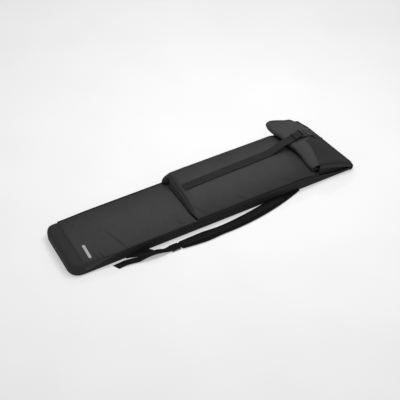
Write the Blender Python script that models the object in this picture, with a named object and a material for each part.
"""A long, slim, padded roll-top carry case lying on its back.

The case is a flat fabric tube with a boot at one end (-X). Its other end (+X) folds back over a
large front pocket as a closure flap, which a strap with a side-release buckle holds down. Two
padded shoulder straps lie on the floor, one on each side. Metres, +Z up, floor at z = 0.
"""

import math

import bmesh
import bpy
from mathutils import Matrix, Vector

GAP = 0.0003  # between pieces that touch

# tube
TUBE_START_X = -0.622
HALF_WIDTH = 0.1425
SIDE_HEIGHT = 0.050
BOOT_SIDE_HEIGHT = 0.040
FOLD_SIDE_HEIGHT = 0.014
CROWN = 0.010
FABRIC = 0.0020
FOAM = 0.0060
LINING = 0.0010
PIPING_RADIUS = 0.0030

# boot
BOOT_END_X = -0.6925
BOOT_CORNER = 0.048
BOOT_WALL = 0.0025

# mouth and its lip
MOUTH_X = 0.505
LIP_NEAR_END_X = 0.620
LIP_SKEW = -0.280

# front pocket
POCKET_START_X = -0.112
POCKET_END_X = 0.490
POCKET_FAR_Y = 0.1365
POCKET_TOP = 0.1040
POCKET_RISE_SHARE = 0.62
POCKET_FALL_X = 0.400
POCKET_MOUTH_TOP = 0.0850

# closure flap, between the fold and the rolled leading edge
FOLD_NEAR_X = 0.672
FOLD_SKEW = -0.340
FOLD_NEAR_Y = -0.145
FOLD_FAR_Y = 0.165
FOLD_NEAR_TOP = 0.040
FOLD_RISE = 0.245
FOLD_NEAR_REACH = 0.0202
FOLD_REACH_GROWTH = 0.040
LEAD_NEAR_Y = -0.120
LEAD_FAR_Y = 0.188
LEAD_FAR_X = 0.430
LEAD_BOW = 0.555
FLAP_TOP = 0.132
FLAP_NEAR_SAG = 0.044
FLAP_FAR_SAG = 0.006
RIDGE = 0.65  # share of the way from the fold to the leading edge
FLAP_FOAM = 0.0060
ROLL_RADIUS = 0.0130
ROLL_WALL = 0.0040
ROLL_START = 0.84
FOLD_HINGE = (0.672, 0.018)  # x, z of an axis along Y

# closing strap and buckle
STRAP_WIDTH = 0.040
STRAP_THICKNESS = 0.0018
STRAP_START = (-0.093, 0.020)
STRAP_LEAD = (0.450, 0.034)
BUCKLE_X = 0.540
BUCKLE_Y = 0.042
BUCKLE_Z = 0.1330
BUCKLE_PITCH = math.radians(16.0)
SOCKET_LENGTH = 0.036
SOCKET_WIDTH = 0.050
SOCKET_THICKNESS = 0.0125
SOCKET_WALL = 0.0020
PLUG_LENGTH = 0.032
KEEPER_POINT = 16  # the keeper's point of the strap's route
BAR_X = -0.0285  # the plug's webbing bar, in the buckle's own frame
BAR_RADIUS = 0.0020
PLUG_WIDTH = 0.048
PLUG_THICKNESS = 0.0100
LATCH_LENGTH = 0.024

# shoulder straps, as they lie on the floor; y is the distance from the case's middle
PAD_THICKNESS = 0.0080
PAD_START_X = 0.396
PAD_END_X = -0.222
PAD_OUTER_Y = 0.2200
PAD_OUTER_BOW = 0.450
PAD_OUTER_END_BOW = 0.340
PAD_INNER_Y = 0.1720
PAD_INNER_BOW = 0.330
PAD_INNER_SLOPE = 0.055
PAD_INNER_END_SLOPE = 0.025
SPINE_WIDTH = 0.025
ADJUSTER_WIDTH = 0.024
TAIL_WIDTH = 0.030
WEB_THICKNESS = 0.0016
LOCK_X = -0.246
LOCK_Y = 0.1890
LOCK_BACK = 0.021
LOCK_FRONT = 0.019
LOCK_HALF_WIDTH = 0.0200
LOCK_THICKNESS = 0.0050
LOCK_SLOT_PITCH = 0.012
LOCK_SLOT_LENGTH = 0.0064
LOCK_RAIL = 0.004
TAB_BASE = (-0.450, -0.345)
TAB_TIP_X = -0.328
TAB_INNER_Y = 0.1460
TAB_TIP_Y = (0.1620, 0.1840)
ADJUSTER_END_Y = 0.1720
NEAR_TAIL_END_Y = 0.1700
FAR_TAIL_END_HEIGHT = 0.0170
NEAR_TAIL_SWING = 0.014
NEAR_TAIL_LENGTH = 0.240
FAR_TAIL_LENGTH = 0.290
NEAR_SWING_AXIS = (-0.1445, 0.0080)  # y, z of an axis along X
FAR_SWING_AXIS = (0.1555, 0.0)
FAR_STAND_Y = 0.1555  # outer face of the far strap, which stands on its edge against the case
FAR_EDGE_LIFT = 0.0020
FAR_LOCK_BASE_Y = 0.1688
FAR_TAB_BASE_Y = 0.1455

COLOURS = {
    "shell_fabric": ((0.055, 0.055, 0.060), 0.85, 0.0),
    "gusset_fabric": ((0.020, 0.020, 0.022), 0.95, 0.0),
    "webbing": ((0.028, 0.028, 0.031), 0.80, 0.0),
    "binding": ((0.018, 0.018, 0.020), 0.80, 0.0),
    "foam": ((0.090, 0.090, 0.095), 0.95, 0.0),
    "lining": ((0.060, 0.060, 0.065), 0.90, 0.0),
    "buckle_plastic": ((0.020, 0.020, 0.022), 0.30, 0.0),
    "patch": ((0.750, 0.750, 0.740), 0.60, 0.0),
}


def clear_scene():
    for thing in list(bpy.data.objects):
        bpy.data.objects.remove(thing)


def material(slot):
    known = bpy.data.materials.get(slot)
    if known:
        return known
    colour, roughness, metallic = COLOURS[slot]
    made = bpy.data.materials.new(slot)
    made.use_nodes = True
    shader = made.node_tree.nodes["Principled BSDF"]
    shader.inputs["Base Color"].default_value = (*colour, 1.0)
    shader.inputs["Roughness"].default_value = roughness
    shader.inputs["Metallic"].default_value = metallic
    return made


def steps(start, end, count):
    return [start + (end - start) * i / count for i in range(count + 1)]


def clamp(t):
    return min(max(t, 0.0), 1.0)


def ease(t):
    t = clamp(t)
    return t * t * (3 - 2 * t)


def mix(a, b, t):
    return a + (b - a) * t


def add_object(name, slot, bm, parent=None, origin=None):
    """Makes a named object from a bmesh in the row frame, with its origin on a joint if one is given."""
    bmesh.ops.recalc_face_normals(bm, faces=bm.faces)
    if origin is not None:
        bmesh.ops.translate(bm, verts=bm.verts, vec=-Vector(origin))
    mesh = bpy.data.meshes.new(name)
    bm.to_mesh(mesh)
    bm.free()
    made = bpy.data.objects.new(name, mesh)
    bpy.context.scene.collection.objects.link(made)
    if slot:
        mesh.materials.append(material(slot))
        mesh.shade_smooth()
        mesh.set_sharp_from_angle(angle=math.radians(35))
    if origin is not None:
        made.location = origin
    if parent is not None:
        made.parent = parent
    return made


def slab(name, slot, outer, inner, us, vs, origin=None):
    """A closed solid between two surfaces, outer(u, v) and inner(u, v), that share one grid."""
    bm = bmesh.new()
    sides = []
    for surface in (outer, inner):
        sides.append([[bm.verts.new(surface(u, v)) for v in vs] for u in us])
    top, bottom = sides
    for i in range(len(us) - 1):
        for j in range(len(vs) - 1):
            bm.faces.new((top[i][j], top[i + 1][j], top[i + 1][j + 1], top[i][j + 1]))
            bm.faces.new((bottom[i][j], bottom[i][j + 1], bottom[i + 1][j + 1], bottom[i + 1][j]))
    for i in range(len(us) - 1):
        for j in (0, len(vs) - 1):
            bm.faces.new((top[i][j], top[i + 1][j], bottom[i + 1][j], bottom[i][j]))
    for j in range(len(vs) - 1):
        for i in (0, len(us) - 1):
            bm.faces.new((top[i][j], top[i][j + 1], bottom[i][j + 1], bottom[i][j]))
    return add_object(name, slot, bm, origin=origin)


def sweep(name, slot, points, section, side=None, origin=None):
    """A closed solid with one flat section, (across, up) pairs, carried along a route."""
    points = [Vector(p) for p in points]
    bm = bmesh.new()
    rings = []
    for i, point in enumerate(points):
        tangent = points[min(i + 1, len(points) - 1)] - points[max(i - 1, 0)]
        tangent.normalize()
        across = Vector(side) if side else Vector((0, 0, 1)).cross(tangent)
        across = (across - tangent * across.dot(tangent)).normalized()
        up = tangent.cross(across)
        rings.append([bm.verts.new(point + across * a + up * b) for a, b in section])
    count = len(section)
    for first, second in zip(rings, rings[1:]):
        for k in range(count):
            after = (k + 1) % count
            bm.faces.new((first[k], first[after], second[after], second[k]))
    bm.faces.new(rings[0])
    bm.faces.new(rings[-1])
    return add_object(name, slot, bm, origin=origin)


def rectangle(width, thickness):
    """The section of a flat strip that lies on its route."""
    half = width / 2
    return [(-half, 0.0), (half, 0.0), (half, thickness), (-half, thickness)]


def circle(radius, count):
    turns = [2 * math.pi * k / count for k in range(count)]
    return [(radius * math.cos(t), radius * math.sin(t)) for t in turns]


def block(name, slot, low, high, bevel, parent=None):
    """A box with softened edges, in its parent's frame."""
    bm = bmesh.new()
    bmesh.ops.create_cube(bm, size=1.0)
    size = [b - a for a, b in zip(low, high)]
    middle = [(a + b) / 2 for a, b in zip(low, high)]
    bmesh.ops.transform(bm, matrix=Matrix.Diagonal((*size, 1.0)), verts=bm.verts)
    bmesh.ops.translate(bm, vec=middle, verts=bm.verts)
    if bevel:
        bmesh.ops.bevel(bm, geom=bm.edges[:], offset=bevel, segments=2, affect="EDGES", profile=0.5)
    return add_object(name, slot, bm, parent=parent)


def cut(target, low, high):
    """Takes a box out of a piece, in the frame that both share."""
    cutter = block(target.name + "_cutter", None, low, high, 0.0, parent=target.parent)
    cutter.hide_render = True
    cutter.display_type = "WIRE"
    boolean = target.modifiers.new("cut", "BOOLEAN")
    boolean.operation = "DIFFERENCE"
    boolean.solver = "EXACT"
    boolean.object = cutter


# --- the tube -----------------------------------------------------------------


def side_height(x):
    """Height of the seam between a side and the front: lower at the boot and at the fold."""
    rise = mix(BOOT_SIDE_HEIGHT, SIDE_HEIGHT, ease((x - TUBE_START_X) / 0.16))
    return mix(rise, FOLD_SIDE_HEIGHT, ease((x - 0.40) / 0.25))


def front_height(x, y):
    """Top of the front panel, crowned across the case."""
    return side_height(x) + CROWN * (1 - (y / HALF_WIDTH) ** 2)


def front_layer(name, slot, drop, thickness):
    """One layer of the front, a depth below its top."""
    edge = HALF_WIDTH - 0.0045

    def outer(x, y):
        return (x, y, front_height(x, y) - drop)

    def inner(x, y):
        return (x, y, front_height(x, y) - drop - thickness)

    slab(name, slot, outer, inner, steps(TUBE_START_X, MOUTH_X, 23), steps(-edge, edge, 8))


def fold_x(y):
    """Where the back turns up into the fold."""
    return FOLD_NEAR_X + FOLD_SKEW * (y - FOLD_NEAR_Y)


def back_layers():
    layers = (("back_panel", "shell_fabric", FABRIC), ("back_foam", "foam", FOAM),
              ("back_lining", "lining", LINING))
    low = 0.0
    for name, slot, thickness in layers:
        half = HALF_WIDTH - (0.0025 if name == "back_panel" else 0.0030)

        def top(t, y, z=low + thickness):
            return (mix(TUBE_START_X, fold_x(y) - 0.004, t), y, z)

        def bottom(t, y, z=low):
            return (mix(TUBE_START_X, fold_x(y) - 0.004, t), y, z)

        slab(name, slot, top, bottom, steps(0.0, 1.0, 6), steps(-half, half, 4))
        low += thickness + GAP
    return low


def front_layers():
    front_layer("front_panel", "shell_fabric", 0.0, FABRIC)
    drop = FABRIC + GAP
    front_layer("front_foam", "foam", drop, FOAM)
    drop += FOAM + GAP
    front_layer("front_lining", "lining", drop, LINING)
    return drop + LINING


def sides(floor_top, front_depth):
    """The two gussets, their foam and the piping along their top seams."""
    for side, sign in (("near", -1), ("far", 1)):
        xs = steps(TUBE_START_X, fold_x(sign * HALF_WIDTH) - 0.004, 24)

        def outer(x, t, sign=sign):
            return (x, sign * HALF_WIDTH, t * (side_height(x) - PIPING_RADIUS - GAP))

        def inner(x, t, sign=sign):
            return (x, sign * (HALF_WIDTH - FABRIC), t * (side_height(x) - PIPING_RADIUS - GAP))

        slab(side + "_gusset", "gusset_fabric", outer, inner, xs, steps(0.0, 1.0, 2))

        def foam_outer(x, t, sign=sign):
            top = side_height(x) - front_depth - GAP
            return (x, sign * (HALF_WIDTH - FABRIC - 2 * GAP), mix(floor_top, top, t))

        def foam_inner(x, t, sign=sign):
            top = side_height(x) - front_depth - GAP
            return (x, sign * (HALF_WIDTH - FABRIC - 2 * GAP - FOAM), mix(floor_top, top, t))

        foam_xs = steps(TUBE_START_X, 0.42, 18)
        slab(side + "_side_foam", "foam", foam_outer, foam_inner, foam_xs, steps(0.0, 1.0, 2))
        route = [(x, sign * (HALF_WIDTH - 0.0005), side_height(x)) for x in xs]
        sweep(side + "_piping", "binding", route, circle(PIPING_RADIUS, 8))


# --- the boot -----------------------------------------------------------------


def boot_outline(inset):
    """The boot seen from above, from its near seam round the end to its far seam."""
    radius = BOOT_CORNER - inset
    end = BOOT_END_X + inset
    half = HALF_WIDTH - inset
    corner_x = end + radius
    corner_y = half - radius
    points = [(TUBE_START_X - GAP, -half)]
    for k in range(7):
        turn = math.radians(270 - 15 * k)
        points.append((corner_x + radius * math.cos(turn), -corner_y + radius * math.sin(turn)))
    for k in range(7):
        turn = math.radians(180 - 15 * k)
        points.append((corner_x + radius * math.cos(turn), corner_y + radius * math.sin(turn)))
    points.append((TUBE_START_X - GAP, half))
    return points


def boot():
    """A rounded cup that closes the end of the tube, with a foam bumper inside."""
    bm = bmesh.new()
    height = BOOT_SIDE_HEIGHT + CROWN
    levels = ((0.010, 0.0), (0.0, 0.010), (0.0, height - 0.016), (0.006, height - 0.004), (0.016, height))
    loops = []
    for inset, z in levels:
        loops.append([bm.verts.new((x, y, z)) for x, y in boot_outline(inset)])
    inner_levels = ((0.012, BOOT_WALL), (BOOT_WALL, 0.011), (BOOT_WALL, height - 0.017),
                    (0.008, height - 0.004 - BOOT_WALL), (0.017, height - BOOT_WALL))
    inner = []
    for inset, z in inner_levels:
        inner.append([bm.verts.new((x, y, z)) for x, y in boot_outline(inset)])
    for shell in (loops, inner):
        for low, high in zip(shell, shell[1:]):
            for k in range(len(low) - 1):
                bm.faces.new((low[k], low[k + 1], high[k + 1], high[k]))
        bm.faces.new(shell[0])
        bm.faces.new(shell[-1])
    for end in (0, -1):
        rim = [loop[end] for loop in loops]
        rim_inner = [loop[end] for loop in inner]
        for k in range(len(rim) - 1):
            bm.faces.new((rim[k], rim[k + 1], rim_inner[k + 1], rim_inner[k]))
    bm.faces.new((loops[0][0], loops[0][-1], inner[0][-1], inner[0][0]))
    bm.faces.new((loops[-1][0], loops[-1][-1], inner[-1][-1], inner[-1][0]))
    add_object("bottom_boot", "shell_fabric", bm)
    bumper_low = (BOOT_END_X + 0.012, -0.100, 0.006)
    bumper_high = (BOOT_END_X + 0.036, 0.100, height - 0.008)
    block("end_bumper", "foam", bumper_low, bumper_high, 0.004)


def seam_tape():
    """The raised seam over the front, where the boot meets the tube."""
    xs = (TUBE_START_X - 0.004, TUBE_START_X + 0.004)
    top = BOOT_SIDE_HEIGHT + CROWN + GAP

    def outer(x, y):
        return (x, y, top + 0.0012)

    def inner(x, y):
        return (x, y, top)

    slab("boot_seam_tape", "binding", outer, inner, xs, steps(-0.118, 0.118, 6))


def name_patch():
    """A plain pale patch on the front, near the boot."""
    middle = Vector((-0.594, -0.078))
    length, width, lift, thickness = 0.076, 0.012, 0.0014, 0.0010
    bm = bmesh.new()
    rings = []
    for level in (lift, lift + thickness):
        ring = []
        for k in range(16):
            turn = 2 * math.pi * k / 16
            x = middle.x + width / 2 * math.cos(turn)
            y = middle.y + math.copysign(length / 2 - width / 2, math.sin(turn)) + width / 2 * math.sin(turn)
            ring.append(bm.verts.new((x, y, front_height(x, y) + level)))
        rings.append(ring)
    for k in range(16):
        bm.faces.new((rings[0][k], rings[0][(k + 1) % 16], rings[1][(k + 1) % 16], rings[1][k]))
    bm.faces.new(rings[0])
    bm.faces.new(rings[1])
    add_object("name_patch", "patch", bm)


# --- the front pocket ------------------------------------------------------------


def pocket_height(x, y):
    """Top of the pocket: rises from the near seam, level from the middle to the far side."""
    across = clamp((y + HALF_WIDTH) / (2 * HALF_WIDTH) / POCKET_RISE_SHARE)
    rise = math.sin(across * math.pi / 2)
    top = mix(POCKET_TOP, POCKET_MOUTH_TOP, ease((x - POCKET_FALL_X) / (POCKET_END_X - POCKET_FALL_X)))
    foot = front_height(x, y) + GAP + FABRIC
    return mix(foot, max(top, foot), rise)


def pocket():
    near_y = -HALF_WIDTH + 0.0045

    def outer(x, y):
        return (x, y, pocket_height(x, y))

    def inner(x, y):
        return (x, y, pocket_height(x, y) - FABRIC)

    xs = steps(POCKET_START_X + 0.004, POCKET_END_X, 14)
    slab("pocket_panel", "shell_fabric", outer, inner, xs, steps(near_y, POCKET_FAR_Y, 14))

    def end_outer(y, t):
        x = POCKET_START_X + 0.004
        low, high = front_height(x, y) + GAP, pocket_height(x, y)
        return (POCKET_START_X + 0.004 - GAP, y, mix(low, max(high, low + 0.001), t))

    def end_inner(y, t):
        x, _, z = end_outer(y, t)
        return (x - FABRIC, y, z)

    ys = steps(near_y, POCKET_FAR_Y, 14)
    slab("pocket_end_gusset", "shell_fabric", end_outer, end_inner, ys, steps(0.0, 1.0, 3))

    def far_outer(x, t):
        y = POCKET_FAR_Y + GAP + FABRIC
        return (x, y, mix(front_height(x, y) + GAP, pocket_height(x, y), t))

    def far_inner(x, t):
        y = POCKET_FAR_Y + GAP
        return (x, y, mix(front_height(x, y) + GAP, pocket_height(x, y), t))

    slab("pocket_far_gusset", "shell_fabric", far_outer, far_inner, xs, steps(0.0, 1.0, 3))
    hem = 0.0035

    def binding_outer(x, y):
        return (x, y, pocket_height(POCKET_END_X, y) + 0.0008)

    def binding_inner(x, y):
        return (x, y, pocket_height(POCKET_END_X, y) - FABRIC - 0.0008)

    xs = (POCKET_END_X + GAP, POCKET_END_X + GAP + hem)
    slab("pocket_mouth_binding", "binding", binding_outer, binding_inner, xs, steps(-0.10, POCKET_FAR_Y, 10))


# --- the mouth's lip ---------------------------------------------------------------


def lip():
    """The front layer past the tube's mouth. It lifts when the flap is open."""
    axis = (MOUTH_X, 0.0, front_height(MOUTH_X, 0.0))
    edge = HALF_WIDTH - 0.0140
    hem = 0.004

    def place(t, y):
        end = LIP_NEAR_END_X + LIP_SKEW * (y + edge) - hem
        return mix(MOUTH_X + 2 * GAP, end, t)

    def lip_layer(name, slot, drop, thickness, start, end, shift):
        def outer(t, y):
            x = place(t, y) + shift
            return (x, y, front_height(x, y) - drop)

        def inner(t, y):
            x = place(t, y) + shift
            return (x, y, front_height(x, y) - drop - thickness)

        slab(name, slot, outer, inner, steps(start, end, 4), steps(-edge, edge, 8), axis)

    lip_foam = FOAM / 2
    lip_layer("lip_panel", "shell_fabric", 0.0, FABRIC, 0.0, 1.0, 0.0)
    lip_layer("lip_foam", "foam", FABRIC + GAP, lip_foam, 0.0, 1.0, 0.0)
    depth = FABRIC + GAP + lip_foam

    def binding_place(u, y):
        return place(1.0, y) + GAP + u * (hem - GAP)

    def binding_outer(u, y):
        x = binding_place(u, y)
        return (x, y, front_height(x, y) + 0.0008)

    def binding_inner(u, y):
        x = binding_place(u, y)
        return (x, y, front_height(x, y) - depth - 0.0008)

    slab("lip_binding", "binding", binding_outer, binding_inner, (0.0, 1.0), steps(-edge, edge, 8), axis)


# --- the closure flap --------------------------------------------------------------


def lead_x(y):
    """Where the leading edge lies: bowed, so that its near end trails."""
    return LEAD_FAR_X + LEAD_BOW * (FOLD_FAR_Y + 0.025 - y) ** 2


def flap_height(x, y):
    """Top of the flap: from the fold up to a ridge, then level to the leading edge."""
    s = (fold_x(y) - x) / (fold_x(y) - lead_x(y))
    fold_top = FOLD_NEAR_TOP + FOLD_RISE * (y - FOLD_NEAR_Y)
    near_sag = FLAP_NEAR_SAG * (1 - ease((y - LEAD_NEAR_Y) / 0.14))
    far_sag = FLAP_FAR_SAG * ease((y - 0.10) / 0.09)
    ridge = FLAP_TOP - near_sag - far_sag
    return mix(min(fold_top, ridge), ridge, ease(s / RIDGE))


def flap_place(s, t):
    """A point of the flap seen from above: s from the fold to the leading edge, t from near to far."""
    y = mix(mix(FOLD_NEAR_Y, LEAD_NEAR_Y, s), mix(FOLD_FAR_Y, LEAD_FAR_Y, s), t)
    return mix(fold_x(y), lead_x(y), s), y


FLAP_PIVOT = (FOLD_HINGE[0], 0.0, FOLD_HINGE[1])


def flap_layer(name, slot, drop, thickness):
    def outer(s, t):
        x, y = flap_place(s, t)
        return (x, y, flap_height(x, y) - drop)

    def inner(s, t):
        x, y, z = outer(s, t)
        return (x, y, z - thickness)

    slab(name, slot, outer, inner, steps(0.0, ROLL_START, 9), steps(0.0, 1.0, 12), FLAP_PIVOT)


def flap_roll():
    """The leading edge, rolled under into a C with its gap facing the fold."""
    turns = [math.radians(60 + 24 * k) for k in range(11)]
    section = [(ROLL_RADIUS * math.cos(turn), ROLL_RADIUS * math.sin(turn)) for turn in turns]
    inner_radius = ROLL_RADIUS - ROLL_WALL
    section += [(inner_radius * math.cos(turn), inner_radius * math.sin(turn)) for turn in reversed(turns)]
    count = len(section)
    bm = bmesh.new()
    rings = []
    for t in steps(0.0, 1.0, 12):
        x, y = flap_place(ROLL_START, t)
        centre = (x - ROLL_RADIUS - GAP, flap_height(x, y) - ROLL_RADIUS)
        rings.append([bm.verts.new((centre[0] + a, y, centre[1] + b)) for a, b in section])
    for first, second in zip(rings, rings[1:]):
        for k in range(count):
            after = (k + 1) % count
            bm.faces.new((first[k], first[after], second[after], second[k]))
    for ring in (rings[0], rings[-1]):
        for k in range(count // 2 - 1):
            bm.faces.new((ring[k], ring[k + 1], ring[count - 2 - k], ring[count - 1 - k]))
    add_object("flap_roll", "shell_fabric", bm, origin=FLAP_PIVOT)


def flap():
    flap_layer("flap_outer_panel", "shell_fabric", 0.0, FABRIC)
    drop = FABRIC + GAP
    flap_layer("flap_foam", "foam", drop, FLAP_FOAM)
    drop += FLAP_FOAM + GAP
    flap_layer("flap_lining", "lining", drop, LINING)
    flap_roll()
    depth = drop + LINING
    for side, t, sign in (("near", 0.0, -1), ("far", 1.0, 1)):
        edge = [(GAP, -depth - 0.001), (0.0028, -depth - 0.001), (0.0028, 0.001), (GAP, 0.001)]
        bm = bmesh.new()
        rings = []
        for s in steps(0.04, ROLL_START, 9):
            x, y = flap_place(s, t)
            z = flap_height(x, y)
            rings.append([bm.verts.new((x, y + sign * a, z + b)) for a, b in edge])
        for first, second in zip(rings, rings[1:]):
            for k in range(4):
                after = (k + 1) % 4
                bm.faces.new((first[k], first[after], second[after], second[k]))
        bm.faces.new(rings[0])
        bm.faces.new(rings[-1])
        add_object("flap_" + side + "_binding", "binding", bm, origin=FLAP_PIVOT)


def fold_strip():
    """The fabric that turns from the back, round the fold, to the top of the flap."""

    def ring(y, turn, depth):
        start = fold_x(y)
        radius = flap_height(start, y) / 2
        reach = FOLD_NEAR_REACH + FOLD_REACH_GROWTH * (y - FOLD_NEAR_Y)
        across = (reach - depth) * math.cos(turn)
        return (start + 2 * GAP + across, y, radius + (radius - depth) * math.sin(turn))

    def outer(y, turn):
        return ring(y, turn, 0.0)

    def inner(y, turn):
        return ring(y, turn, FABRIC)

    turns = [math.radians(-80 + 20 * k) for k in range(9)]
    ys = steps(FOLD_NEAR_Y + 0.001, FOLD_FAR_Y - 0.001, 10)
    slab("fold_strip", "shell_fabric", outer, inner, ys, turns)


# --- the closing strap and buckle ------------------------------------------------------


def strap_route():
    """Along the pocket from the box stitch, over the flap's leading edge, to the plug."""
    start_x, start_y = STRAP_START
    lead_at, lead_y = STRAP_LEAD
    loop_radius = BAR_RADIUS + GAP
    end_x = BUCKLE_X + math.cos(BUCKLE_PITCH) * BAR_X
    bar_z = BUCKLE_Z - math.sin(BUCKLE_PITCH) * BAR_X
    end_z = bar_z + loop_radius
    rise_x, lift = 0.330, 0.0022
    roll_top = FLAP_TOP + 0.0026
    points = []
    for x in steps(start_x, rise_x, 8):
        y = mix(start_y, lead_y, (x - start_x) / (lead_at - start_x))
        points.append((x, y, pocket_height(x, y) + lift))
    low_z = points[-1][2]
    for t in steps(1 / 6, 1.0, 5):
        x = mix(rise_x, lead_at - 0.012, t)
        y = mix(start_y, lead_y, (x - start_x) / (lead_at - start_x))
        points.append((x, y, mix(low_z, roll_top, ease(t))))
    for t in steps(0.25, 1.0, 3):
        points.append((mix(lead_at - 0.012, end_x, t), mix(lead_y, BUCKLE_Y, t), mix(roll_top, end_z, t)))
    for degrees in range(70, -151, -20):
        turn = math.radians(degrees)
        points.append((end_x + loop_radius * math.cos(turn), BUCKLE_Y, bar_z + loop_radius * math.sin(turn)))
    return points


def closing_strap():
    route = strap_route()
    pivot = route[0]
    strap_section = rectangle(STRAP_WIDTH, STRAP_THICKNESS)
    sweep("closing_strap", "webbing", route, strap_section, side=(0, 1, 0), origin=pivot)

    def patch_top(x, y):
        return (x, y, pocket_height(x, y) + 0.0010)

    def patch_bottom(x, y):
        return (x, y, pocket_height(x, y) + GAP)

    half = STRAP_WIDTH / 2 - 0.002
    patch_xs = steps(pivot[0] + 0.004, pivot[0] + 0.044, 2)
    patch_ys = steps(pivot[1] - half, pivot[1] + half, 4)
    slab("strap_anchor_patch", "webbing", patch_top, patch_bottom, patch_xs, patch_ys)
    strap_keeper(route[KEEPER_POINT], pivot)


def strap_keeper(place, pivot):
    """A short elastic loop round the closing strap."""
    wall, play = 0.0012, 0.0007
    half = STRAP_WIDTH / 2 + 0.001

    def loop(grow):
        low, high = -play - grow, STRAP_THICKNESS + play + grow
        return [(-half - grow, low), (half + grow, low), (half + grow, high), (-half - grow, high)]

    bm = bmesh.new()
    rings = []
    for x in (place[0] - 0.004, place[0] + 0.004):
        ends = []
        for grow in (wall, 0.0):
            ends.append([bm.verts.new((x, place[1] + a, place[2] + b)) for a, b in loop(grow)])
        rings.append(ends)
    first, second = rings
    for k in range(4):
        after = (k + 1) % 4
        for layer in (0, 1):
            bm.faces.new((first[layer][k], first[layer][after], second[layer][after], second[layer][k]))
        for ring in rings:
            bm.faces.new((ring[0][k], ring[0][after], ring[1][after], ring[1][k]))
    add_object("strap_keeper", "webbing", bm, origin=pivot)


def buckle():
    """A side-release buckle. In its own frame +X points into the socket, from the socket's mouth."""
    frame = bpy.data.objects.new("buckle_frame", None)
    bpy.context.scene.collection.objects.link(frame)
    frame.location = (BUCKLE_X, BUCKLE_Y, BUCKLE_Z)
    frame.rotation_euler = (0.0, BUCKLE_PITCH, 0.0)
    half, thick = SOCKET_WIDTH / 2, SOCKET_THICKNESS / 2
    slot = "buckle_plastic"
    socket = block("buckle_socket", slot, (0, -half, -thick), (SOCKET_LENGTH, half, thick), 0.0015, frame)
    wall = SOCKET_WALL
    cut(socket, (-0.01, -half + wall, -thick + wall), (LATCH_LENGTH + 0.003, half - wall, thick - wall))
    for sign in (-1, 1):
        y_low, y_high = sorted((sign * (half - wall - 0.001), sign * (half + 0.01)))
        cut(socket, (0.009, y_low, -0.0035), (0.022, y_high, 0.0035))
    cut(socket, (SOCKET_LENGTH - 0.006, -half + 0.004, -0.02), (SOCKET_LENGTH - 0.003, half - 0.004, 0.02))
    plug_half, plug_thick = PLUG_WIDTH / 2, PLUG_THICKNESS / 2
    plug_low = (-PLUG_LENGTH, -plug_half, -plug_thick)
    plug = block("buckle_plug", slot, plug_low, (-2 * GAP, plug_half, plug_thick), 0.0015, frame)
    cut(plug, (-PLUG_LENGTH - 0.01, -plug_half + 0.0030, -0.02), (-0.0210, plug_half - 0.0030, 0.02))
    bm = bmesh.new()
    turned = Matrix.Translation((BAR_X, 0, 0)) @ Matrix.Rotation(math.pi / 2, 4, "X")
    bmesh.ops.create_cone(bm, cap_ends=True, segments=16, radius1=BAR_RADIUS, radius2=BAR_RADIUS,
                          depth=PLUG_WIDTH - 0.004, matrix=turned)
    bar = add_object("plug_bar_guide", None, bm, parent=frame)
    bar.hide_render = True
    bar.display_type = "WIRE"
    join = plug.modifiers.new("bar", "BOOLEAN")
    join.operation = "UNION"
    join.solver = "EXACT"
    join.object = bar
    for side, sign in (("near", -1), ("far", 1)):
        bm = bmesh.new()
        outline = [(-GAP, 0.0110), (0.010, 0.0120), (LATCH_LENGTH, 0.0170), (LATCH_LENGTH, 0.0195),
                   (0.0200, 0.0222), (0.0105, 0.0245), (0.0100, 0.0185), (-GAP, 0.0160)]
        rings = []
        for z in (-0.0025, 0.0025):
            rings.append([bm.verts.new((x, sign * y, z)) for x, y in outline])
        for k in range(len(outline)):
            after = (k + 1) % len(outline)
            bm.faces.new((rings[0][k], rings[0][after], rings[1][after], rings[1][k]))
        bm.faces.new(rings[0])
        bm.faces.new(rings[1])
        add_object(side + "_latch_arm", slot, bm, parent=frame)
    start_x = BUCKLE_X + (SOCKET_LENGTH - 0.002) * math.cos(BUCKLE_PITCH)
    start_z = BUCKLE_Z - (SOCKET_LENGTH - 0.002) * math.sin(BUCKLE_PITCH) - 0.0100
    route = []
    for t in steps(0.0, 1.0, 6):
        y = mix(BUCKLE_Y - 0.004, 0.014, t)
        x = mix(start_x, fold_x(y) - 0.002, t)
        surface = flap_height(x, y) + 0.0042
        route.append((x, y, mix(max(start_z, surface), surface, ease(t / 0.5))))
    section = rectangle(STRAP_WIDTH - 0.004, STRAP_THICKNESS)
    sweep("socket_webbing", "webbing", route, section, origin=FLAP_PIVOT)


# --- shoulder straps -----------------------------------------------------------------


def pad_outer(x):
    """The pad's outer edge: an arc that runs back to the case at the pad's sewn end."""
    return PAD_OUTER_Y - (PAD_OUTER_BOW if x > 0 else PAD_OUTER_END_BOW) * x * x


def pad_inner(x):
    """The pad's inner edge, which lies along the case's side near the sewn end."""
    ahead, behind = max(x, 0.0), max(-x, 0.0)
    edge = PAD_INNER_Y - PAD_INNER_BOW * ahead ** 2 - PAD_INNER_SLOPE * ahead + PAD_INNER_END_SLOPE * behind
    return max(edge, HALF_WIDTH + 2 * GAP)


def near_place(x, y, z):
    """The near strap lies flat on the floor."""
    return (x, -y, z)


def far_base(x):
    """The flat strap's Y that comes down onto the floor when the far strap stands on its edge."""
    if x >= PAD_END_X:
        return pad_inner(x) - FAR_EDGE_LIFT
    return mix(FAR_TAB_BASE_Y, FAR_LOCK_BASE_Y, ease((x - TAB_TIP_X - 0.004) / 0.050))


def far_place(x, y, z):
    """The far strap stands on its edge against the case's far side, its top face towards the case."""
    return (x, FAR_STAND_Y - z, y - far_base(x))


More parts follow.
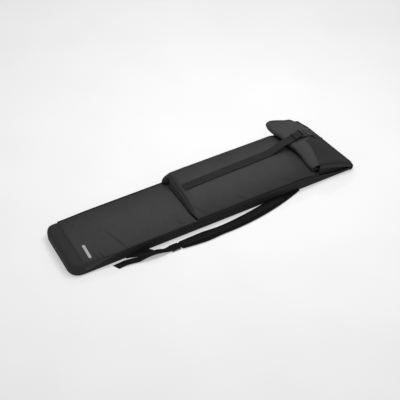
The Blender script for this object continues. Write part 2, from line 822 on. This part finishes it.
def shoulder_strap(side, place):
    """A foam pad with a webbing spine, a ladder lock, adjuster webbing, its tail and a sewn tab."""
    near = side == "near"
    pivot = (0.0, *(NEAR_SWING_AXIS if near else FAR_SWING_AXIS))

    def strip(name, flat_route, width):
        forward = 1 if flat_route[-1][0] > flat_route[0][0] else -1
        route = [place(*point) for point in flat_route]
        across = None if near else (0, 0, forward)
        sweep(side + name, "webbing", route, rectangle(width, WEB_THICKNESS), side=across, origin=pivot)

    def edge_box(low, high):
        a, b = place(*low), place(*high)
        return [min(pair) for pair in zip(a, b)], [max(pair) for pair in zip(a, b)]

    def pad_top(x, t):
        return place(x, mix(pad_inner(x), pad_outer(x), t), PAD_THICKNESS - 0.0020 * (2 * t - 1) ** 2)

    def pad_bottom(x, t):
        return place(x, mix(pad_inner(x), pad_outer(x), t), 0.0)

    xs = steps(PAD_END_X, PAD_START_X, 24)
    slab(side + "_shoulder_pad", "gusset_fabric", pad_top, pad_bottom, xs, steps(0.0, 1.0, 6), pivot)
    spine = []
    for x in steps(PAD_END_X + 0.004, 0.300, 20):
        spine.append((x, (pad_inner(x) + pad_outer(x)) / 2, PAD_THICKNESS + GAP))
    strip("_pad_webbing", spine, SPINE_WIDTH)

    low = (LOCK_X - LOCK_BACK, LOCK_Y - LOCK_HALF_WIDTH, 0.0)
    high = (LOCK_X + LOCK_FRONT, LOCK_Y + LOCK_HALF_WIDTH, LOCK_THICKNESS)
    lock = block(side + "_ladder_lock", "buckle_plastic", *edge_box(low, high), 0.0012)
    for k in (-1, 0, 1):
        middle = LOCK_X + k * LOCK_SLOT_PITCH
        low = (middle - LOCK_SLOT_LENGTH / 2, LOCK_Y - LOCK_HALF_WIDTH + LOCK_RAIL, -0.01)
        high = (middle + LOCK_SLOT_LENGTH / 2, LOCK_Y + LOCK_HALF_WIDTH - LOCK_RAIL, 0.02)
        cut(lock, *edge_box(low, high))

    adjuster = []
    for t in steps(0.0, 1.0, 6):
        x = mix(LOCK_X - LOCK_BACK - 0.0025, TAB_TIP_X + 0.002, t)
        adjuster.append((x, mix(LOCK_Y, ADJUSTER_END_Y, ease(t)), 0.0002))
    strip("_adjuster_webbing", adjuster, ADJUSTER_WIDTH)
    tail = []
    for t in steps(0.0, 1.0, 12):
        x = LOCK_X - 0.030 - t * (NEAR_TAIL_LENGTH if near else FAR_TAIL_LENGTH)
        if near:
            swing = NEAR_TAIL_SWING * math.sin(math.pi * clamp(t * 1.25))
            y = mix(LOCK_Y, NEAR_TAIL_END_Y, ease(t * 1.3)) + swing
        else:
            y = far_base(x) + mix(LOCK_Y - FAR_LOCK_BASE_Y, FAR_TAIL_END_HEIGHT, ease(t * 1.3))
        tail.append((x, y, mix(0.0040, 0.0002, ease((t - 0.75) / 0.25))))
    strip("_strap_tail", tail, TAIL_WIDTH)

    base_start, base_end = TAB_BASE
    tip_inner, tip_outer = TAB_TIP_Y
    corners = [(base_start, TAB_INNER_Y), (base_end, TAB_INNER_Y), (TAB_TIP_X, tip_inner),
               (TAB_TIP_X - 0.002, tip_outer), (base_start + 0.030, TAB_INNER_Y + 0.010)]
    bm = bmesh.new()
    rings = [[bm.verts.new(place(x, y, z)) for x, y in corners] for z in (0.0004, 0.0032)]
    for k in range(len(corners)):
        after = (k + 1) % len(corners)
        bm.faces.new((rings[0][k], rings[0][after], rings[1][after], rings[1][k]))
    bm.faces.new(rings[0])
    bm.faces.new(rings[1])
    add_object(side + "_strap_tab", "gusset_fabric", bm, origin=pivot)


clear_scene()
back_top = back_layers()
front_depth = front_layers()
sides(back_top, front_depth)
boot()
seam_tape()
name_patch()
pocket()
lip()
flap()
fold_strip()
closing_strap()
buckle()
shoulder_strap("near", near_place)
shoulder_strap("far", far_place)
